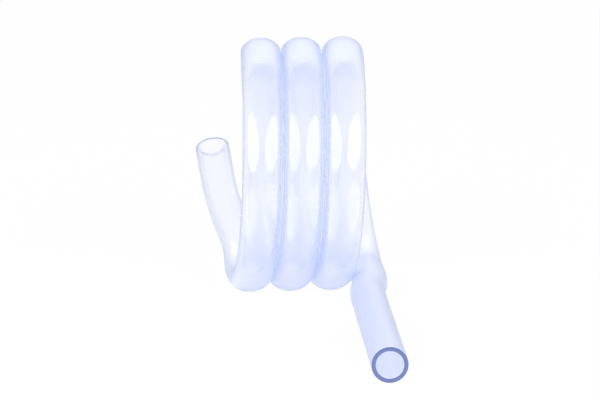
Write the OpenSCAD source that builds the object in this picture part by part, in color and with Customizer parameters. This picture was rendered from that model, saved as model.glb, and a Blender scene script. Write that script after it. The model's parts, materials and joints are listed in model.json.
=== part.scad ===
// A length of clear flexible tubing wound into a close coil, with two free cut ends.
// The coil stands on its turns with its axis level along X. The front end lies straight along
// the surface that the coil stands on, towards -Y, and the rear end rises behind the coil.
// Millimetres, +Z up, origin on the standing surface under the middle of the part.

/* [Tubing] */
// Outside diameter of the tubing where it is round
tube_od = 13; // [10:0.5:15]
// Wall thickness of the tubing
tube_wall = 1.5; // [1:0.1:2]

/* [Coil] */
// Number of whole turns
turns = 3; // [1:1:6]
// Clear diameter inside the coil
coil_clear_d = 73; // [65:1:110]
// How much thinner and wider than its diameter the bent tubing goes
flattening = 1.9; // [0:0.1:2.5]
// Clearance between neighbouring turns
turn_gap = 0.3; // [0.1:0.05:1]
// How far the top of each turn leans back towards the turn before it
turn_lean = 1.8; // [0:0.1:3]
// Length of tubing over which the section goes round, on each side of where an end leaves
round_out = 20; // [12:1:28]

/* [Front end] */
// Length along which the front end keeps the coil's lead, past the bottom of the last turn
front_follow = 9; // [9:1:20]
// Length along which the front end swings in under the last turn
front_swing = 19; // [18:1:30]
// Widest heading of the front end, in degrees in under the last turn
front_tuck = 11.5; // [3:0.1:12]
// Length along which the front end swings back into the heading of its straight stretch
front_settle = 14; // [12:1:30]
// Heading of the front end's straight stretch, in degrees back towards the coil's middle
front_heading = 1.2; // [0:0.1:3]
// Length of the front end's straight stretch, up to its cut face
front_straight = 93; // [30:1:200]

/* [Rear end] */
// Angle round the back of the coil, up from the bottom, at which the rear end leaves
rear_leave = 21; // [12:1:35]
// Bend radius of the rear end's outer side
rear_bend_r = 140; // [90:1:250]
// Length of the rear end's bent stretch
rear_bend = 48; // [30:1:90]
// Length along which the rear end swings out from the coil's lead to its widest heading
rear_swing = 14; // [10:1:25]
// Widest heading of the rear end, in degrees out from the coil
rear_splay = 13; // [6:0.1:15]
// Heading of the rear end's straight stretch, in degrees out from the coil
rear_heading = 5; // [3:0.1:12]
// Length of the rear end's straight stretch, up to its cut face
rear_straight = 12; // [8:1:60]

/* [Hidden] */

// Facets of the bent tubing, and of the true round straight stretches
section_sides = 20;
rings_per_turn = 30;
rings_per_end = 10;
round_fn = 96;
// The faceted section stays this far inside the true round one
facet_ease = 0.03;
// How deep a straight stretch reaches into the bent tubing
joint_lap = 0.5;
// How far the bore's cut runs past both ends of a straight stretch
cut_past = 1;

bore_d = tube_od - 2 * tube_wall;
wound_thick = tube_od - flattening;
wound_wide = tube_od + flattening;
pitch = wound_wide + turn_gap;
coil_out_r = coil_clear_d / 2 + wound_thick;
wound_angle = 360 * turns;
radian = 180 / PI;

// Sideways travel of the tubing for each millimetre along the coil's outer side
function lead_at(angle) = (pitch - PI * turn_lean * sin(angle)) / (2 * PI * coil_out_r);
front_lead = lead_at(wound_angle);
rear_lead = lead_at(-rear_leave);
front_tuck_slope = -tan(front_tuck);
front_slope = -tan(front_heading);
front_bend = front_follow + front_swing + front_settle;
rear_splay_slope = tan(rear_splay);
rear_slope = tan(rear_heading);
rear_rise = rear_leave + radian * rear_bend / rear_bend_r;

// Section of the tubing a distance past the place where an end leaves: 1 is wound, 0 is round
function ease(t) = let (c = min(max(t, 0), 1)) c * c * (3 - 2 * c);
function ovality(past) = 1 - ease((past + round_out) / (2 * round_out));
function half_thick(oval) = (tube_od - flattening * oval) / 2;
function half_wide(oval) = (tube_od + flattening * oval) / 2;
// As it goes round, an end stays against the turn beside it
function shift_in(oval) = wound_wide / 2 - half_wide(oval);

// Sideways drift along a stretch that swings from one slope to another
function drift(s, length, from, to) = from * s + (to - from) * s * s / (2 * length);
function front_drift(s) =
    let (
        swung = s - front_follow,
        settled = swung - front_swing
    )
    front_lead * min(s, front_follow)
    + drift(min(max(swung, 0), front_swing), front_swing, front_lead, front_tuck_slope)
    + drift(max(settled, 0), front_settle, front_tuck_slope, front_slope);
function rear_drift(s) =
    drift(min(s, rear_swing), rear_swing, rear_lead, rear_splay_slope)
    + drift(max(s - rear_swing, 0), rear_bend - rear_swing, rear_splay_slope, rear_slope);

// A station is a point of the tubing's middle line and the ovality of the section there.
// The outer side of the section follows the coil's outside, the standing surface or the rear bend.
function coil_station(angle) =
    let (
        past_front = (angle - wound_angle) / radian * coil_out_r,
        past_rear = (-rear_leave - angle) / radian * coil_out_r,
        front_oval = ovality(past_front),
        rear_oval = ovality(past_rear),
        oval = min(front_oval, rear_oval),
        middle_r = coil_out_r - half_thick(oval),
        side = pitch * angle / 360 - turn_lean * (1 - cos(angle)) / 2
    )
    [
        [
            side - shift_in(front_oval) + shift_in(rear_oval),
            -middle_r * sin(angle),
            coil_out_r - middle_r * cos(angle)
        ],
        oval
    ];

function front_station(s) =
    let (oval = ovality(s))
    [
        [
            pitch * turns + front_drift(s) - shift_in(oval),
            -s,
            half_thick(oval)
        ],
        oval
    ];

function rear_station(s) =
    let (
        oval = ovality(s),
        rise = rear_leave + radian * s / rear_bend_r,
        start = -pitch * rear_leave / 360 - turn_lean * (1 - cos(rear_leave)) / 2,
        outer_y = coil_out_r * sin(rear_leave) + rear_bend_r * (sin(rise) - sin(rear_leave)),
        outer_z = coil_out_r * (1 - cos(rear_leave)) + rear_bend_r * (cos(rear_leave) - cos(rise))
    )
    [
        [
            start - rear_drift(s) + shift_in(oval),
            outer_y - half_thick(oval) * sin(rise),
            outer_z + half_thick(oval) * cos(rise)
        ],
        oval
    ];

// Stations from the rear end, round the coil and on to the front end
coil_step = 360 / rings_per_turn;
stations = concat(
    [for (i = [rings_per_end:-1:1]) rear_station(rear_bend * i / rings_per_end)],
    [coil_station(-rear_leave), coil_station(-rear_leave / 2)],
    [for (i = [0:turns * rings_per_turn]) coil_station(i * coil_step)],
    [for (i = [1:rings_per_end]) front_station(front_bend * i / rings_per_end)]
);
last = len(stations) - 1;

function unit(v) = v / norm(v);
rear_start = stations[0][0];
front_start = stations[last][0];
rear_way = unit([-rear_slope, cos(rear_rise), sin(rear_rise)]);
front_way = unit([front_slope, -1, 0]);

function way_at(i) =
    i == 0 ? -rear_way
    : i == last ? front_way
    : unit(stations[i + 1][0] - stations[i - 1][0]);

// One ring of the section: across it lies along the coil's axis, and out of it points off the bend
function ring(i, half_w, half_t) =
    let (
        way = way_at(i),
        across = unit([1, 0, 0] - way.x * way),
        out = cross(across, way)
    )
    [for (k = [0:section_sides - 1])
        let (turn = 360 * k / section_sides)
        stations[i][0] + half_w * cos(turn) * across + half_t * sin(turn) * out];

function ring_pair(i) =
    let (
        half_w = half_wide(stations[i][1]) - facet_ease,
        half_t = half_thick(stations[i][1]) - facet_ease
    )
    concat(ring(i, half_w, half_t), ring(i, half_w - tube_wall, half_t - tube_wall));

tube_points = [for (i = [0:last]) each ring_pair(i)];

// Point number k of the outer (layer 0) or inner (layer 1) ring of a station
function spot(i, layer, k) = (2 * i + layer) * section_sides + k % section_sides;
function quad(a, b, c, d) = [[a, b, c], [a, c, d]];

tube_faces = [for (k = [0:section_sides - 1]) each concat(
    quad(spot(0, 0, k), spot(0, 1, k), spot(0, 1, k + 1), spot(0, 0, k + 1)),
    quad(spot(last, 0, k), spot(last, 0, k + 1), spot(last, 1, k + 1), spot(last, 1, k)),
    [for (i = [0:last - 1]) each concat(
        quad(spot(i, 0, k), spot(i, 0, k + 1), spot(i + 1, 0, k + 1), spot(i + 1, 0, k)),
        quad(spot(i, 1, k), spot(i + 1, 1, k), spot(i + 1, 1, k + 1), spot(i, 1, k + 1))
    )]
)];

// Reach of the whole part, with the two cut faces as true discs
function disc_reach(way, axis) = tube_od / 2 * sqrt(1 - way[axis] * way[axis]);
rear_end = rear_start + rear_straight * rear_way;
front_end = front_start + front_straight * front_way;
function low(axis) = min([
    min([for (p = tube_points) p[axis]]),
    rear_end[axis] - disc_reach(rear_way, axis),
    front_end[axis] - disc_reach(front_way, axis)
]);
function high(axis) = max([
    max([for (p = tube_points) p[axis]]),
    rear_end[axis] + disc_reach(rear_way, axis),
    front_end[axis] + disc_reach(front_way, axis)
]);
middle = [(low(0) + high(0)) / 2, (low(1) + high(1)) / 2, 0];

// The coil and the bent part of each end: one swept tube
module bent_tubing() {
    polyhedron(points = tube_points, faces = tube_faces, convexity = 12);
}

// A straight, true round end that starts at a point and runs one way to its square cut face
module straight_tubing(start, way, length) {
    tilt = acos(way.z);
    swing = atan2(way.y, way.x);
    translate(start)
        rotate([0, tilt, swing])
            translate([0, 0, -joint_lap])
                difference() {
                    cylinder(d = tube_od, h = length + joint_lap, $fn = round_fn);
                    translate([0, 0, -cut_past])
                        cylinder(d = bore_d, h = length + joint_lap + 2 * cut_past, $fn = round_fn);
                }
}

module tubing() {
    color([0.85, 0.88, 0.98])
        translate(-middle) {
            bent_tubing();
            straight_tubing(rear_start, rear_way, rear_straight);
            straight_tubing(front_start, front_way, front_straight);
        }
}

tubing();
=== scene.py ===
"""Looks of a standing coil of clear tubing: the swept tube, its finishes, the studio and the camera."""

import json
import logging
import math
from dataclasses import dataclass, field
from enum import Enum
from typing import Any

import bpy
import numpy as np
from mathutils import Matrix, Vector
from mathutils.kdtree import KDTree


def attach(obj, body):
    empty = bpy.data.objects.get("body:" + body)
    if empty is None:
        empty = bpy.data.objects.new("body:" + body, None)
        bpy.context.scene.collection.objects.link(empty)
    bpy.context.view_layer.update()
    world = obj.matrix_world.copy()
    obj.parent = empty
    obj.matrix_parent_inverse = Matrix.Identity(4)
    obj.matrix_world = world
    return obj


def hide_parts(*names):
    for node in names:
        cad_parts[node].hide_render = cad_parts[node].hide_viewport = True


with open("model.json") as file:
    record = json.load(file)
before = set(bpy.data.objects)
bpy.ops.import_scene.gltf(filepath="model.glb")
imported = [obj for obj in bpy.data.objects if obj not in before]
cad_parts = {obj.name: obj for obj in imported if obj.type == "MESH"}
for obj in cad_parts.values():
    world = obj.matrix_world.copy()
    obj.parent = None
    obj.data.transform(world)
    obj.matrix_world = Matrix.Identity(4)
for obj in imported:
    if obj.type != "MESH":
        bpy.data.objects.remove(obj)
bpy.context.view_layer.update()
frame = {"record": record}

NODE = "tubing"
BODY = "root"
FRONT_MOUNT = "front_end_bore"

# The tube's map, in metres along it and round it, with the bore set off by this much round it
TUBE_MAP = "tube"
BORE_SET_OFF = 2.0
# The layer that holds how near the next turn lies, which places the painted shade where turns touch
CONTACT_SHADE_LAYER = "painted_contact_shade"

FULL_TURN = 360.0
WHITE = (1.0, 1.0, 1.0, 1.0)

Colour = tuple[float, float, float]
Span = tuple[float, float]
Tree = bpy.types.NodeTree
Socket = bpy.types.NodeSocket

log = logging.getLogger("tubing_coil")


class Finish(Enum):
    """Which finish a face of the tube takes: the number of its material slot."""

    WALL = 0
    FRONT_CUT = 1
    REAR_CUT = 2


def unit(vectors: np.ndarray) -> np.ndarray:
    """Return the vectors at length one.

    Args:
        vectors: Vectors along the last axis.

    Returns:
        The same vectors, each divided by its own length.
    """
    return vectors / np.linalg.norm(vectors, axis=-1, keepdims=True)


def ease(share: np.ndarray) -> np.ndarray:
    """Return a smooth step from 0 to 1 for shares from 0 to 1."""
    held = np.clip(share, 0.0, 1.0)
    return held * held * (3.0 - 2.0 * held)


def slope(degrees: float) -> float:
    """Return the sideways travel per metre of a heading in degrees."""
    return math.tan(math.radians(degrees))


def drift(along: np.ndarray, length: float, start: float, end: float) -> np.ndarray:
    """Return the sideways travel along a stretch that swings from one slope to another.

    Args:
        along: Distances from the start of the stretch.
        length: Length of the stretch.
        start: Slope at the start.
        end: Slope at the end.

    Returns:
        Sideways travel at each distance.
    """
    return start * along + (end - start) * along**2 / (2.0 * length)


def direction(azimuth: float, elevation: float) -> Vector:
    """Return the way from a target towards a place round it.

    Args:
        azimuth: Degrees round from the front, positive to the right.
        elevation: Degrees above level.

    Returns:
        A vector of length one.
    """
    a, e = math.radians(azimuth), math.radians(elevation)
    return Vector((math.sin(a) * math.cos(e), -math.cos(a) * math.cos(e), math.sin(e)))


@dataclass(frozen=True)
class TubingSizes:
    """Sizes of the tubing, its coil and its two free ends, in metres and degrees."""

    # The tubing where it is round, and how much thinner and wider it goes where it is wound
    outside: float = 0.013
    wall: float = 0.0015
    flattening: float = 0.0019
    # The coil, and the length to each side of where an end leaves it over which the section goes round
    turns: int = 3
    coil_clear: float = 0.073
    turn_gap: float = 0.0003
    turn_lean: float = 0.0018
    round_out: float = 0.020
    # The front end: it follows the coil, swings in under the last turn and settles into its heading
    front_follow: float = 0.009
    front_swing: float = 0.019
    front_tuck: float = 11.5
    front_settle: float = 0.014
    front_heading: float = 1.2
    front_straight: float = 0.093
    # The rear end: it leaves up the back of the coil, swings out and bends up into its heading
    rear_leave: float = 21.0
    rear_bend_radius: float = 0.140
    rear_bend: float = 0.048
    rear_swing: float = 0.014
    rear_splay: float = 13.0
    rear_heading: float = 5.0
    rear_straight: float = 0.012

    @property
    def wound_wide(self) -> float:
        """Width of the flattened tubing along the coil's axis."""
        return self.outside + self.flattening

    @property
    def pitch(self) -> float:
        """Distance between neighbouring turns."""
        return self.wound_wide + self.turn_gap

    @property
    def coil_radius(self) -> float:
        """Outside radius of the coil."""
        return self.coil_clear / 2.0 + self.outside - self.flattening

    @property
    def coil_middle(self) -> float:
        """Place of the coil's middle along its axis, from the bottom of the first turn."""
        return self.pitch * self.turns / 2.0 - self.turn_lean / 2.0

    @property
    def front_bend(self) -> float:
        """Length of the front end's bent stretch."""
        return self.front_follow + self.front_swing + self.front_settle

    @property
    def wound_angle(self) -> float:
        """Angle wound, in degrees, from the bottom of the first turn."""
        return FULL_TURN * self.turns

    def lead(self, angle: float) -> float:
        """Return the sideways travel per metre along the coil's outside at an angle."""
        sideways = self.pitch - math.pi * self.turn_lean * math.sin(math.radians(angle))
        return sideways / (2.0 * math.pi * self.coil_radius)

    def half_thick(self, oval: np.ndarray) -> np.ndarray:
        """Return half the section's thickness off the bend, for ovalities from 0 to 1."""
        return (self.outside - self.flattening * oval) / 2.0

    def half_wide(self, oval: np.ndarray) -> np.ndarray:
        """Return half the section's width along the coil's axis, for ovalities from 0 to 1."""
        return (self.outside + self.flattening * oval) / 2.0


@dataclass
class TubingRoute:
    """Middle line of the tubing from the rear cut face, round the coil, to the front cut face."""

    sizes: TubingSizes
    degrees_per_ring: float = 1.35
    ring_spacing: float = 0.0016
    least_rings: int = 2
    # The top of the third turn springs a little away from the second
    sprung_at: float = 900.0
    sprung_reach: float = 100.0
    sprung_by: float = 0.00035
    centre: np.ndarray = field(init=False)
    oval: np.ndarray = field(init=False)
    way: np.ndarray = field(init=False)

    def __post_init__(self) -> None:
        """Lay out the whole line."""
        sizes = self.sizes
        rear, rear_oval = self.rear_bend(self.steps(sizes.rear_bend)[::-1])
        coil, coil_oval = self.coil(self.coil_angles())
        front, front_oval = self.front_bend(self.steps(sizes.front_bend))
        rear_way, front_way = self.rear_way(), self.front_way()
        rear_run = self.steps(sizes.rear_straight)[::-1]
        front_run = self.steps(sizes.front_straight)
        rear_straight = rear[0] + rear_run[:, None] * rear_way
        front_straight = front[-1] + front_run[:, None] * front_way
        self.centre = np.concatenate([rear_straight, rear, coil, front, front_straight])
        self.oval = np.concatenate(
            [np.zeros(len(rear_run)), rear_oval, coil_oval, front_oval, np.zeros(len(front_run))]
        )
        self.way = unit(np.gradient(self.centre, self.run(), axis=0))
        self.way[: len(rear_run) + 1] = -rear_way
        self.way[-len(front_run) - 1 :] = front_way

    def steps(self, length: float) -> np.ndarray:
        """Return the even distances of the rings along a length, without its start."""
        count = max(self.least_rings, math.ceil(length / self.ring_spacing))
        return length * np.arange(1, count + 1) / count

    def coil_angles(self) -> np.ndarray:
        """Return the angles of the coil's rings, in degrees from the bottom of the first turn."""
        start, end = -self.sizes.rear_leave, self.sizes.wound_angle
        return np.linspace(start, end, round((end - start) / self.degrees_per_ring) + 1)

    def ovality(self, past: np.ndarray) -> np.ndarray:
        """Return the ovality of the section a distance past where an end leaves the coil."""
        reach = self.sizes.round_out
        return 1.0 - ease((past + reach) / (2.0 * reach))

    def shift_in(self, oval: np.ndarray) -> np.ndarray:
        """Return how far an end moves in to stay against the turn beside it as it goes round."""
        return self.sizes.wound_wide / 2.0 - self.sizes.half_wide(oval)

    def coil_side(self, angle: np.ndarray) -> np.ndarray:
        """Return the place along the coil's axis at angles in degrees."""
        sizes = self.sizes
        lean = sizes.turn_lean * (1.0 - np.cos(np.radians(angle))) / 2.0
        sprung = self.sprung_by * ease(1.0 - np.abs(angle - self.sprung_at) / self.sprung_reach)
        return sizes.pitch * angle / FULL_TURN - lean + sprung

    def coil(self, angle: np.ndarray) -> tuple[np.ndarray, np.ndarray]:
        """Return points and ovalities round the coil.

        Args:
            angle: Angles in degrees from the bottom of the first turn.

        Returns:
            Points of the middle line, and the ovality at each.
        """
        sizes = self.sizes
        front_oval = self.ovality(np.radians(angle - sizes.wound_angle) * sizes.coil_radius)
        rear_oval = self.ovality(np.radians(-sizes.rear_leave - angle) * sizes.coil_radius)
        oval = np.minimum(front_oval, rear_oval)
        radius = sizes.coil_radius - sizes.half_thick(oval)
        turn = np.radians(angle)
        side = self.coil_side(angle) - self.shift_in(front_oval) + self.shift_in(rear_oval)
        points = np.stack(
            [side, -radius * np.sin(turn), sizes.coil_radius - radius * np.cos(turn)], axis=1
        )
        return points, oval

    def front_drift(self, along: np.ndarray) -> np.ndarray:
        """Return the sideways travel of the front end: in under the last turn, then straight."""
        sizes = self.sizes
        lead = sizes.lead(sizes.wound_angle)
        tuck, heading = -slope(sizes.front_tuck), -slope(sizes.front_heading)
        swung = np.clip(along - sizes.front_follow, 0.0, sizes.front_swing)
        settled = np.maximum(along - sizes.front_follow - sizes.front_swing, 0.0)
        return (
            lead * np.minimum(along, sizes.front_follow)
            + drift(swung, sizes.front_swing, lead, tuck)
            + drift(settled, sizes.front_settle, tuck, heading)
        )

    def rear_drift(self, along: np.ndarray) -> np.ndarray:
        """Return the sideways travel of the rear end: out from the coil, then straight."""
        sizes = self.sizes
        lead = sizes.lead(-sizes.rear_leave)
        splay, heading = slope(sizes.rear_splay), slope(sizes.rear_heading)
        settle = sizes.rear_bend - sizes.rear_swing
        swung = np.minimum(along, sizes.rear_swing)
        settled = np.maximum(along - sizes.rear_swing, 0.0)
        return drift(swung, sizes.rear_swing, lead, splay) + drift(settled, settle, splay, heading)

    def front_bend(self, along: np.ndarray) -> tuple[np.ndarray, np.ndarray]:
        """Return points and ovalities of the front end's bent stretch.

        Args:
            along: Distances past the bottom of the last turn.

        Returns:
            Points of the middle line, and the ovality at each.
        """
        sizes = self.sizes
        oval = self.ovality(along)
        side = sizes.pitch * sizes.turns + self.front_drift(along) - self.shift_in(oval)
        return np.stack([side, -along, sizes.half_thick(oval)], axis=1), oval

    def rear_bend(self, along: np.ndarray) -> tuple[np.ndarray, np.ndarray]:
        """Return points and ovalities of the rear end's bent stretch.

        Args:
            along: Distances past the place where the rear end leaves the coil.

        Returns:
            Points of the middle line, and the ovality at each.
        """
        sizes = self.sizes
        oval = self.ovality(along)
        leave = math.radians(sizes.rear_leave)
        rise = leave + along / sizes.rear_bend_radius
        start = self.coil_side(np.float64(-sizes.rear_leave))
        side = start - self.rear_drift(along) + self.shift_in(oval)
        coil, bend, thick = sizes.coil_radius, sizes.rear_bend_radius, sizes.half_thick(oval)
        outer_y = coil * math.sin(leave) + bend * (np.sin(rise) - math.sin(leave))
        outer_z = coil * (1.0 - math.cos(leave)) + bend * (math.cos(leave) - np.cos(rise))
        points = np.stack(
            [side, outer_y - thick * np.sin(rise), outer_z + thick * np.cos(rise)], axis=1
        )
        return points, oval

    def front_way(self) -> np.ndarray:
        """Return the way that the front end's straight stretch points."""
        return unit(np.array([-slope(self.sizes.front_heading), -1.0, 0.0]))

    def rear_way(self) -> np.ndarray:
        """Return the way that the rear end's straight stretch points."""
        sizes = self.sizes
        rise = math.radians(sizes.rear_leave) + sizes.rear_bend / sizes.rear_bend_radius
        return unit(np.array([-slope(sizes.rear_heading), math.cos(rise), math.sin(rise)]))

    def run(self) -> np.ndarray:
        """Return the distance along the middle line of each of its points."""
        steps = np.linalg.norm(np.diff(self.centre, axis=0), axis=1)
        return np.concatenate([[0.0], np.cumsum(steps)])

    def move(self, offset: np.ndarray) -> None:
        """Move the whole line."""
        self.centre = self.centre + offset


def add_math(
    tree: Tree, operation: str, first: Socket | float, second: Socket | float, clamp: bool = False
) -> Socket:
    """Add a node that works out one value from two.

    Args:
        tree: Node tree that the node goes into.
        operation: What the node does with the values.
        first: Socket of the first value, or a plain number.
        second: Socket of the second value, or a plain number.
        clamp: Whether the result is held between 0 and 1.

    Returns:
        The socket that holds the result.
    """
    node = tree.nodes.new("ShaderNodeMath")
    node.operation = operation
    node.use_clamp = clamp
    for value, entry in zip((first, second), node.inputs):
        if isinstance(value, Socket):
            tree.links.new(value, entry)
        else:
            entry.default_value = value
    return node.outputs["Value"]


@dataclass(frozen=True)
class ClearSilicone:
    """Finish of the tube's wall: clear, faintly blue in its depth, and less glossy towards its edge."""

    name: str = "clear_silicone"
    tint: Colour = (0.15, 0.38, 1.0)
    density: float = 15.0
    ior: float = 1.46
    outer_roughness: Span = (0.055, 0.08)
    bore_roughness: Span = (0.20, 0.28)
    lines_per_metre: Span = (4.0, 280.0)
    line_detail: float = 3.0
    bore_tint: Colour = (0.95, 0.962, 1.0)
    # Painted shade: a blue tint in the wall's colour where turns touch, standing in for the shade
    # between them
    painted_contact_shade_tint: Colour = (0.74, 0.82, 1.0)
    soft_roughness: float = 0.42
    soft_facing: Span = (0.28, 0.62)

    def make(self) -> bpy.types.Material:
        """Return the material, with draw lines along the tube and painted shade in blue where turns
        touch.
        """
        material = bpy.data.materials.new(self.name)
        material.use_nodes = True
        tree = material.node_tree
        shader = tree.nodes["Principled BSDF"]
        shader.inputs["Transmission Weight"].default_value = 1.0
        shader.inputs["IOR"].default_value = self.ior
        place = tree.nodes.new("ShaderNodeUVMap")
        place.uv_map = TUBE_MAP
        inside = self.add_inside(tree, place.outputs["UV"])
        tree.links.new(self.add_colour(tree, inside), shader.inputs["Base Color"])
        tree.links.new(self.add_gloss(tree, place.outputs["UV"], inside), shader.inputs["Roughness"])
        depth = tree.nodes.new("ShaderNodeVolumeAbsorption")
        depth.inputs["Color"].default_value = (*self.tint, 1.0)
        depth.inputs["Density"].default_value = self.density
        tree.links.new(depth.outputs["Volume"], tree.nodes["Material Output"].inputs["Volume"])
        return material

    @staticmethod
    def add_inside(tree: Tree, place: Socket) -> Socket:
        """Add nodes that tell the bore from the outside by their places on the tube's map.

        Args:
            tree: Node tree that the nodes go into.
            place: Socket of the place on the map.

        Returns:
            The socket that holds 1 in the bore and 0 outside.
        """
        split = tree.nodes.new("ShaderNodeSeparateXYZ")
        tree.links.new(place, split.inputs["Vector"])
        return add_math(tree, "GREATER_THAN", split.outputs["Y"], BORE_SET_OFF / 2.0)

    def add_gloss(self, tree: Tree, place: Socket, inside: Socket) -> Socket:
        """Add the faint lines that drawing leaves along the tube, and the softer edge, as roughness.

        Args:
            tree: Node tree that the nodes go into.
            place: Socket of the place on the map.
            inside: Socket that is 1 in the bore.

        Returns:
            The socket that holds the roughness.
        """
        stretch = tree.nodes.new("ShaderNodeMapping")
        stretch.inputs["Scale"].default_value = (*self.lines_per_metre, 1.0)
        lines = tree.nodes.new("ShaderNodeTexNoise")
        lines.inputs["Scale"].default_value = 1.0
        lines.inputs["Detail"].default_value = self.line_detail
        gloss = tree.nodes.new("ShaderNodeMix")
        tree.links.new(place, stretch.inputs["Vector"])
        tree.links.new(stretch.outputs["Vector"], lines.inputs["Vector"])
        for side, (least, most) in (("A", self.outer_roughness), ("B", self.bore_roughness)):
            spread = tree.nodes.new("ShaderNodeMapRange")
            spread.inputs["To Min"].default_value = least
            spread.inputs["To Max"].default_value = most
            tree.links.new(lines.outputs["Fac"], spread.inputs["Value"])
            tree.links.new(spread.outputs["Result"], gloss.inputs[side])
        tree.links.new(inside, gloss.inputs["Factor"])
        soft = tree.nodes.new("ShaderNodeMix")
        soft.inputs["B"].default_value = self.soft_roughness
        tree.links.new(self.add_facing(tree), soft.inputs["Factor"])
        tree.links.new(gloss.outputs["Result"], soft.inputs["A"])
        return soft.outputs["Result"]

    def add_facing(self, tree: Tree) -> Socket:
        """Add nodes that go from 0 to 1 as the wall turns from square on to its edge.

        Args:
            tree: Node tree that the nodes go into.

        Returns:
            The socket that holds the value.
        """
        start, end = self.soft_facing
        facing = tree.nodes.new("ShaderNodeLayerWeight")
        turned = tree.nodes.new("ShaderNodeMapRange")
        turned.interpolation_type = "SMOOTHSTEP"
        turned.inputs["From Min"].default_value = start
        turned.inputs["From Max"].default_value = end
        tree.links.new(facing.outputs["Facing"], turned.inputs["Value"])
        return turned.outputs["Result"]

    def add_colour(self, tree: Tree, inside: Socket) -> Socket:
        """Add the wall's faint tints: painted shade in blue where turns touch, and a tint in the bore.

        Args:
            tree: Node tree that the nodes go into.
            inside: Socket that is 1 in the bore.

        Returns:
            The socket that holds the colour.
        """
        # Painted shade: the wall goes blue where the next turn lies near, standing in for the shade
        # between turns
        painted_contact_shade = tree.nodes.new("ShaderNodeAttribute")
        painted_contact_shade.attribute_name = CONTACT_SHADE_LAYER
        touch = self.add_tint(tree, painted_contact_shade.outputs["Fac"], self.painted_contact_shade_tint)
        bore = self.add_tint(tree, inside, self.bore_tint)
        tree.links.new(touch.outputs["Result"], bore.inputs["A"])
        return bore.outputs["Result"]

    @staticmethod
    def add_tint(tree: Tree, share: Socket, tint: Colour) -> bpy.types.Node:
        """Add a node that goes from white to a tint.

        Args:
            tree: Node tree that the node goes into.
            share: Socket of the tint's share, from 0 to 1.
            tint: The tint.

        Returns:
            The node, whose first colour is white until something is linked to it.
        """
        mix = tree.nodes.new("ShaderNodeMix")
        mix.data_type = "RGBA"
        mix.inputs["A"].default_value = WHITE
        mix.inputs["B"].default_value = (*tint, 1.0)
        tree.links.new(share, mix.inputs["Factor"])
        return mix


@dataclass(frozen=True)
class CutFace:
    """Finish of a cut face: the wall seen end on, a little matt, between a dark and a light tone."""

    name: str
    dark: Colour
    light: Colour
    roughness: float = 0.35
    marks_per_metre: tuple[float, float, float] = (900.0, 120.0, 2500.0)
    mark_detail: float = 4.0

    def make(self) -> bpy.types.Material:
        """Return the material, with the fine drag marks of a blade."""
        material = bpy.data.materials.new(self.name)
        material.use_nodes = True
        tree = material.node_tree
        shader = tree.nodes["Principled BSDF"]
        shader.inputs["Roughness"].default_value = self.roughness
        place = tree.nodes.new("ShaderNodeTexCoord")
        stretch = tree.nodes.new("ShaderNodeMapping")
        stretch.inputs["Scale"].default_value = self.marks_per_metre
        marks = tree.nodes.new("ShaderNodeTexNoise")
        marks.inputs["Scale"].default_value = 1.0
        marks.inputs["Detail"].default_value = self.mark_detail
        colour = tree.nodes.new("ShaderNodeValToRGB")
        colour.color_ramp.elements[0].color = (*self.dark, 1.0)
        colour.color_ramp.elements[1].color = (*self.light, 1.0)
        tree.links.new(place.outputs["Object"], stretch.inputs["Vector"])
        tree.links.new(stretch.outputs["Vector"], marks.inputs["Vector"])
        tree.links.new(marks.outputs["Fac"], colour.inputs["Fac"])
        tree.links.new(colour.outputs["Color"], shader.inputs["Base Color"])
        return material


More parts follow.
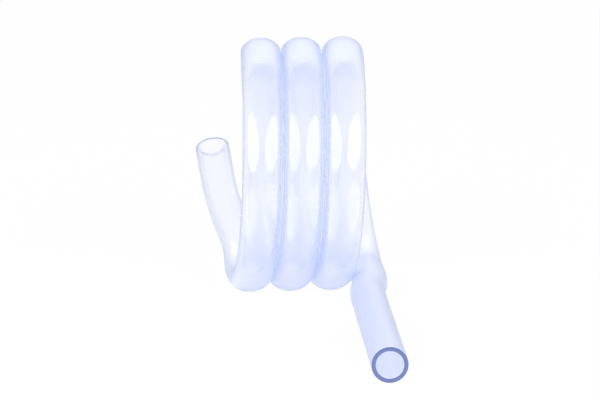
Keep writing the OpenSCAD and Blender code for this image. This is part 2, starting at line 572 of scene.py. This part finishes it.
@dataclass
class Tubing:
    """The one length of tubing: a hollow wall swept along its route, cut square at both ends."""

    sizes: TubingSizes = field(default_factory=TubingSizes)
    sides: int = 48
    rim_round: float = 0.00012
    # How near another stretch of the tube counts as touching for the painted shade, and how many loops
    # off it starts
    painted_shade_reach: float = 0.0022
    painted_shade_skip: int = 60
    wall_finish: ClearSilicone = field(default_factory=ClearSilicone)
    front_finish: CutFace = CutFace("front_cut", dark=(0.085, 0.115, 0.28), light=(0.13, 0.17, 0.37))
    # Painted light: the rear cut face is a lighter copy of the front one, for the brighter light round
    # the rear end
    rear_painted_light_finish: CutFace = CutFace("rear_cut_painted_light", dark=(0.58, 0.63, 0.78), light=(0.68, 0.73, 0.86))
    name: str = "clear_tubing"

    def rims(self) -> list[tuple[float, float]]:
        """Return the cut face's profile, outside in: depth into the wall, and how far it is set back."""
        soft, wall = self.rim_round, self.sizes.wall
        # Halfway round the quarter circle of a rim
        bevel = soft * (1.0 - math.sqrt(0.5))
        return [(bevel, bevel), (soft, 0.0), (wall - soft, 0.0), (wall - bevel, bevel)]

    def section(self, route: TubingRoute, at: int, depth: float, set_on: float) -> np.ndarray:
        """Return one loop of points round the tube.

        Args:
            route: The tubing's middle line.
            at: Number of the point on the line.
            depth: How deep in the wall the loop lies, from the outside.
            set_on: How far along the line's way the loop is moved.

        Returns:
            The loop's points.
        """
        way = route.way[at]
        across = unit(np.array([1.0, 0.0, 0.0]) - way[0] * way)
        out = np.cross(across, way)
        turn = 2.0 * math.pi * np.arange(self.sides) / self.sides
        half_w = self.sizes.half_wide(route.oval[at]) - depth
        half_t = self.sizes.half_thick(route.oval[at]) - depth
        middle = route.centre[at] + set_on * way
        return middle + half_w * np.cos(turn)[:, None] * across + half_t * np.sin(turn)[:, None] * out

    def loops(self, route: TubingRoute) -> tuple[np.ndarray, list[Finish], np.ndarray]:
        """Return the loops of the whole wall, outside first, then through the bore and back.

        Args:
            route: The tubing's middle line.

        Returns:
            Points by loop and side, the finish of the band after each loop, and the distance along
            the tube of each loop.
        """
        last = len(route.centre) - 1
        run = route.run()
        soft, wall = self.rim_round, self.sizes.wall
        made: list[np.ndarray] = []
        finish: list[Finish] = []
        along: list[float] = []

        def add(at: int, depth: float, set_on: float, kind: Finish) -> None:
            """Add one loop, with the finish of the band after it."""
            made.append(self.section(route, at, depth, set_on))
            finish.append(kind)
            along.append(run[at] + set_on)

        add(0, 0.0, soft, Finish.WALL)
        for at in range(1, last):
            add(at, 0.0, 0.0, Finish.WALL)
        add(last, 0.0, -soft, Finish.FRONT_CUT)
        for depth, back in self.rims():
            add(last, depth, -back, Finish.FRONT_CUT)
        add(last, wall, -soft, Finish.WALL)
        for at in range(last - 1, 0, -1):
            add(at, wall, 0.0, Finish.WALL)
        add(0, wall, soft, Finish.REAR_CUT)
        for depth, back in reversed(self.rims()):
            add(0, depth, back, Finish.REAR_CUT)
        return np.array(made), finish, np.array(along)

    def build(self, route: TubingRoute) -> bpy.types.Object:
        """Return the tube as one closed mesh with its three finishes.

        Args:
            route: The tubing's middle line.

        Returns:
            The tube's object.
        """
        points, finish, along = self.loops(route)
        count, sides = points.shape[:2]
        numbers = np.arange(count * sides).reshape(count, sides)
        after = np.roll(numbers, -1, axis=0)
        faces = np.stack(
            [numbers, after, np.roll(after, -1, axis=1), np.roll(numbers, -1, axis=1)], axis=-1
        ).reshape(-1, 4)
        mesh = bpy.data.meshes.new(self.name)
        mesh.from_pydata(points.reshape(-1, 3).tolist(), [], faces.tolist())
        for look in (self.wall_finish, self.front_finish, self.rear_painted_light_finish):
            mesh.materials.append(look.make())
        kinds = np.repeat([kind.value for kind in finish], sides)
        mesh.polygons.foreach_set("material_index", kinds.astype(np.int32))
        mesh.polygons.foreach_set("use_smooth", np.ones(len(faces), dtype=bool))
        self.lay_uv(mesh, along, len(route.centre))
        self.lay_painted_contact_shade(mesh, points, len(route.centre))
        mesh.validate()
        mesh.update()
        piece = bpy.data.objects.new(self.name, mesh)
        bpy.context.scene.collection.objects.link(piece)
        return piece

    def lay_uv(self, mesh: bpy.types.Mesh, along: np.ndarray, outside: int) -> None:
        """Give the mesh a map of metres along the tube and metres round it, with the bore set off.

        Args:
            mesh: The tube's mesh, with faces in order of loop and side.
            along: Distance along the tube of each loop.
            outside: Number of loops on the outside, which come first.
        """
        girth = math.pi * self.sizes.outside
        count = len(along)
        here = np.repeat(along, self.sides)
        there = np.repeat(np.roll(along, -1), self.sides)
        near = np.tile(np.arange(self.sides) / self.sides, count) * girth
        near += np.repeat(np.where(np.arange(count) < outside, 0.0, BORE_SET_OFF), self.sides)
        far = near + girth / self.sides
        corners = np.stack([here, near, there, near, there, far, here, far], axis=-1)
        layer = mesh.uv_layers.new(name=TUBE_MAP)
        layer.data.foreach_set("uv", corners.astype(np.float32).ravel())

    def lay_painted_contact_shade(self, mesh: bpy.types.Mesh, points: np.ndarray, outside: int) -> None:
        """Give each point of the outside a value from 0 to 1 for how near the next turn lies, which
        places the painted shade.

        Args:
            mesh: The tube's mesh.
            points: Its points, by loop and side.
            outside: Number of loops on the outside, which come first.
        """
        spots = points[:outside].reshape(-1, 3)
        loop = np.repeat(np.arange(outside), self.sides)
        tree = KDTree(len(spots))
        for number, spot in enumerate(spots):
            tree.insert(spot, number)
        tree.balance()
        value = np.zeros(len(points) * self.sides)
        for number, spot in enumerate(spots):
            for _, other, gap in tree.find_range(spot, self.painted_shade_reach):
                if abs(loop[other] - loop[number]) > self.painted_shade_skip:
                    value[number] = max(value[number], 1.0 - gap / self.painted_shade_reach)
        layer = mesh.attributes.new(CONTACT_SHADE_LAYER, "FLOAT", "POINT")
        layer.data.foreach_set("value", ease(value).astype(np.float32))

    def declare(self, piece: bpy.types.Object) -> None:
        """Attach the piece to its body and hide the imported part that it replaces.

        Args:
            piece: The tube's object.
        """
        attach(piece, BODY)
        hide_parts(NODE)


def seen_rays(tree: Tree) -> Socket:
    """Add nodes that give 1 for camera, glossy and transmission rays, and 0 for the rest.

    Args:
        tree: Node tree that the nodes go into.

    Returns:
        The socket that holds the value.
    """
    path = tree.nodes.new("ShaderNodeLightPath").outputs
    first = add_math(tree, "MAXIMUM", path["Is Camera Ray"], path["Is Glossy Ray"])
    return add_math(tree, "MAXIMUM", first, path["Is Transmission Ray"])


def mirrored_rays(tree: Tree) -> Socket:
    """Add nodes that give 1 for rays that a glossy surface mirrors, and 0 for those it lets through.

    Args:
        tree: Node tree that the nodes go into.

    Returns:
        The socket that holds the value.
    """
    path = tree.nodes.new("ShaderNodeLightPath").outputs
    return add_math(tree, "SUBTRACT", path["Is Glossy Ray"], path["Is Transmission Ray"], clamp=True)


class Measure(Enum):
    """What the dimming of the surround is measured by."""

    HEIGHT = "height of the way that is looked along"
    REACH = "distance along the floor from the coil"


@dataclass(frozen=True)
class DimRoom:
    """How the white surround dims towards the horizon in mirrored rays, as an unlit room does."""

    measure: Measure
    white: float
    dim: float
    level: float = 0.3

    def add(self, tree: Tree, place: Socket) -> Socket:
        """Add nodes that give 1, and less for reflections that run to the horizon.

        Args:
            tree: Node tree that the nodes go into.
            place: Socket of the place or the way that is looked at.

        Returns:
            The socket that holds the strength.
        """
        fall = tree.nodes.new("ShaderNodeMapRange")
        fall.interpolation_type = "SMOOTHSTEP"
        fall.inputs["From Min"].default_value = self.white
        fall.inputs["From Max"].default_value = self.dim
        fall.inputs["To Max"].default_value = 1.0 - self.level
        tree.links.new(self.measured(tree, place), fall.inputs["Value"])
        lost = add_math(tree, "MULTIPLY", fall.outputs["Result"], mirrored_rays(tree))
        return add_math(tree, "SUBTRACT", 1.0, lost)

    def measured(self, tree: Tree, place: Socket) -> Socket:
        """Add the node that measures the place or the way, and return its socket."""
        if self.measure is Measure.REACH:
            reach = tree.nodes.new("ShaderNodeVectorMath")
            reach.operation = "LENGTH"
            tree.links.new(place, reach.inputs[0])
            return reach.outputs["Value"]
        split = tree.nodes.new("ShaderNodeSeparateXYZ")
        tree.links.new(place, split.inputs["Vector"])
        return split.outputs["Z"]


def add_blend(tree: Tree, share: Socket, first: Socket, second: Socket) -> Socket:
    """Add a node that blends two shaders.

    Args:
        tree: Node tree that the node goes into.
        share: Socket of the second shader's share.
        first: Socket of the first shader.
        second: Socket of the second shader.

    Returns:
        The socket of the blended shader.
    """
    blend = tree.nodes.new("ShaderNodeMixShader")
    for number, part in enumerate((share, first, second)):
        tree.links.new(part, blend.inputs[number])
    return blend.outputs["Shader"]


@dataclass(frozen=True)
class PaleFloor:
    """The plain white surface that the coil stands on, which keeps a soft shadow."""

    name: str = "floor"
    finish_name: str = "floor_white"
    half_size: float = 6.0
    colour: Colour = (0.92, 0.92, 0.93)
    shown_white: float = 0.94
    shine: float = 0.7
    shine_roughness: float = 0.15
    room: DimRoom = DimRoom(Measure.REACH, white=0.25, dim=1.0)

    def build(self) -> bpy.types.Object:
        """Return the floor."""
        reach = self.half_size
        mesh = bpy.data.meshes.new(self.name)
        mesh.from_pydata(
            [(-reach, -reach, 0.0), (reach, -reach, 0.0), (reach, reach, 0.0), (-reach, reach, 0.0)],
            [],
            [(0, 1, 2, 3)],
        )
        mesh.materials.append(self.finish())
        floor = bpy.data.objects.new(self.name, mesh)
        bpy.context.scene.collection.objects.link(floor)
        return floor

    def finish(self) -> bpy.types.Material:
        """Return a matt white that is seen as part of the background and shines in mirrored rays."""
        material = bpy.data.materials.new(self.finish_name)
        material.use_nodes = True
        material.cycles.emission_sampling = "NONE"
        tree = material.node_tree
        tree.nodes.remove(tree.nodes["Principled BSDF"])
        shine = tree.nodes.new("ShaderNodeBsdfGlossy")
        shine.inputs["Roughness"].default_value = self.shine_roughness
        share = add_math(tree, "MULTIPLY", mirrored_rays(tree), self.shine)
        polished = add_blend(tree, share, self.add_white(tree), shine.outputs["BSDF"])
        tree.links.new(polished, tree.nodes["Material Output"].inputs["Surface"])
        return material

    def add_white(self, tree: Tree) -> Socket:
        """Add the matt floor, mostly shown as plain white where it is seen.

        Args:
            tree: Node tree that the nodes go into.

        Returns:
            The socket of the shader.
        """
        matt = tree.nodes.new("ShaderNodeBsdfDiffuse")
        matt.inputs["Color"].default_value = (*self.colour, 1.0)
        white = tree.nodes.new("ShaderNodeEmission")
        white.inputs["Color"].default_value = WHITE
        place = tree.nodes.new("ShaderNodeTexCoord")
        tree.links.new(self.room.add(tree, place.outputs["Object"]), white.inputs["Strength"])
        share = add_math(tree, "MULTIPLY", seen_rays(tree), self.shown_white)
        return add_blend(tree, share, matt.outputs["BSDF"], white.outputs["Emission"])


@dataclass(frozen=True)
class SoftBox:
    """One soft oval lamp, placed round the coil's middle and unseen through clear walls."""

    name: str
    azimuth: float
    elevation: float
    distance: float
    width: float
    height: float
    watts: float

    def build(self, target: Vector) -> bpy.types.Object:
        """Return the lamp, turned to its target.

        Args:
            target: The point that the lamp faces.

        Returns:
            The lamp's object.
        """
        data = bpy.data.lights.new(self.name, "AREA")
        data.shape = "ELLIPSE"
        data.size = self.width
        data.size_y = self.height
        data.energy = self.watts
        lamp = bpy.data.objects.new(self.name, data)
        back = direction(self.azimuth, self.elevation)
        lamp.location = target + back * self.distance
        lamp.rotation_mode = "QUATERNION"
        lamp.rotation_quaternion = (-back).to_track_quat("-Z", "Y")
        lamp.visible_transmission = False
        bpy.context.scene.collection.objects.link(lamp)
        return lamp


@dataclass
class Studio:
    """White surround, floor and three soft lamps."""

    target: Vector
    floor: PaleFloor = field(default_factory=PaleFloor)
    lamps: tuple[SoftBox, ...] = (
        SoftBox(
            "left_box", azimuth=-55.0, elevation=25.0, distance=1.1, width=1.4, height=0.85, watts=12.0
        ),
        SoftBox(
            "right_box", azimuth=43.0, elevation=25.0, distance=1.1, width=1.45, height=0.85, watts=12.4
        ),
        SoftBox(
            "back_box", azimuth=180.0, elevation=42.0, distance=1.5, width=2.4, height=1.21, watts=10.5
        ),
    )
    world_name: str = "white_surround"
    fill: float = 0.2
    room: DimRoom = DimRoom(Measure.HEIGHT, white=0.5, dim=0.1)
    # Light has to get through many walls of the coil one behind the other
    bounces: int = 128

    def build(self) -> None:
        """Make the floor, the lamps and the world, and let light through the whole coil."""
        self.floor.build()
        log.info("stage %s", self.floor.name)
        for lamp in self.lamps:
            lamp.build(self.target)
            log.info("lamp %s", lamp.name)
        self.surround()
        paths = bpy.context.scene.cycles
        paths.max_bounces = self.bounces
        paths.glossy_bounces = self.bounces
        paths.transmission_bounces = self.bounces
        paths.blur_glossy = 0.0

    def surround(self) -> None:
        """Make a world that is white where it is seen and a soft fill elsewhere."""
        world = bpy.data.worlds.new(self.world_name)
        bpy.context.scene.world = world
        world.use_nodes = True
        world.cycles.sampling_method = "NONE"
        tree = world.node_tree
        shown = tree.nodes["Background"]
        shown.inputs["Color"].default_value = WHITE
        soft = tree.nodes.new("ShaderNodeBackground")
        soft.inputs["Color"].default_value = WHITE
        soft.inputs["Strength"].default_value = self.fill
        place = tree.nodes.new("ShaderNodeTexCoord")
        tree.links.new(self.room.add(tree, place.outputs["Generated"]), shown.inputs["Strength"])
        blend = add_blend(tree, seen_rays(tree), soft.outputs["Background"], shown.outputs["Background"])
        tree.links.new(blend, tree.nodes["World Output"].inputs["Surface"])


@dataclass(frozen=True)
class PhotoCamera:
    """Camera at the photograph's viewing angle, with the coil's middle at its place in the picture."""

    name: str = "photo_camera"
    azimuth: float = -5.0
    elevation: float = 13.0
    distance: float = 1.6
    pixels_per_metre: float = 2662.0
    picture: Span = (600.0, 400.0)
    middle_at: Span = (304.0, 163.8)
    sensor: float = 36.0
    clip_end: float = 100.0

    def build(self, target: Vector) -> bpy.types.Object:
        """Return the scene's camera.

        Args:
            target: The coil's middle, which lies on the named pixel.

        Returns:
            The camera's object.
        """
        back = direction(self.azimuth, self.elevation)
        right = (-back).cross(Vector((0.0, 0.0, 1.0))).normalized()
        up = right.cross(-back)
        side = (self.middle_at[0] - self.picture[0] / 2.0) / self.pixels_per_metre
        rise = (self.picture[1] / 2.0 - self.middle_at[1]) / self.pixels_per_metre
        eye = target + back * self.distance
        aim = target - right * side - up * rise
        data = bpy.data.cameras.new(self.name)
        data.sensor_fit = "HORIZONTAL"
        data.sensor_width = self.sensor
        data.lens = self.sensor * self.pixels_per_metre * self.distance / self.picture[0]
        data.clip_end = self.clip_end
        camera = bpy.data.objects.new(self.name, data)
        camera.location = eye
        camera.rotation_mode = "QUATERNION"
        camera.rotation_quaternion = (aim - eye).to_track_quat("-Z", "Y")
        bpy.context.scene.collection.objects.link(camera)
        bpy.context.scene.camera = camera
        return camera


def front_cut(record: dict[str, Any]) -> np.ndarray:
    """Return the middle of the front cut face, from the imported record.

    Args:
        record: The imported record.

    Returns:
        A point in metres.
    """
    mounts = {mount["name"]: mount for mount in record["mounts"]}
    return np.array(mounts[FRONT_MOUNT]["pos_m"])


def main() -> None:
    """Build the camera, the tubing and the studio, in that order."""
    logging.basicConfig(level=logging.INFO, format="%(name)s: %(message)s")
    bpy.context.scene.view_settings.view_transform = "Standard"
    tubing = Tubing()
    sizes = tubing.sizes
    route = TubingRoute(sizes)
    offset = front_cut(frame["record"]) - route.centre[-1]
    route.move(offset)
    middle = Vector((sizes.coil_middle + offset[0], offset[1], sizes.coil_radius))
    camera = PhotoCamera().build(middle)
    log.info("camera %s", camera.name)
    piece = tubing.build(route)
    tubing.declare(piece)
    log.info("piece %s: %d points, %.3f m long", piece.name, len(piece.data.vertices), route.run()[-1])
    Studio(middle).build()


if __name__ == "__main__":
    main()
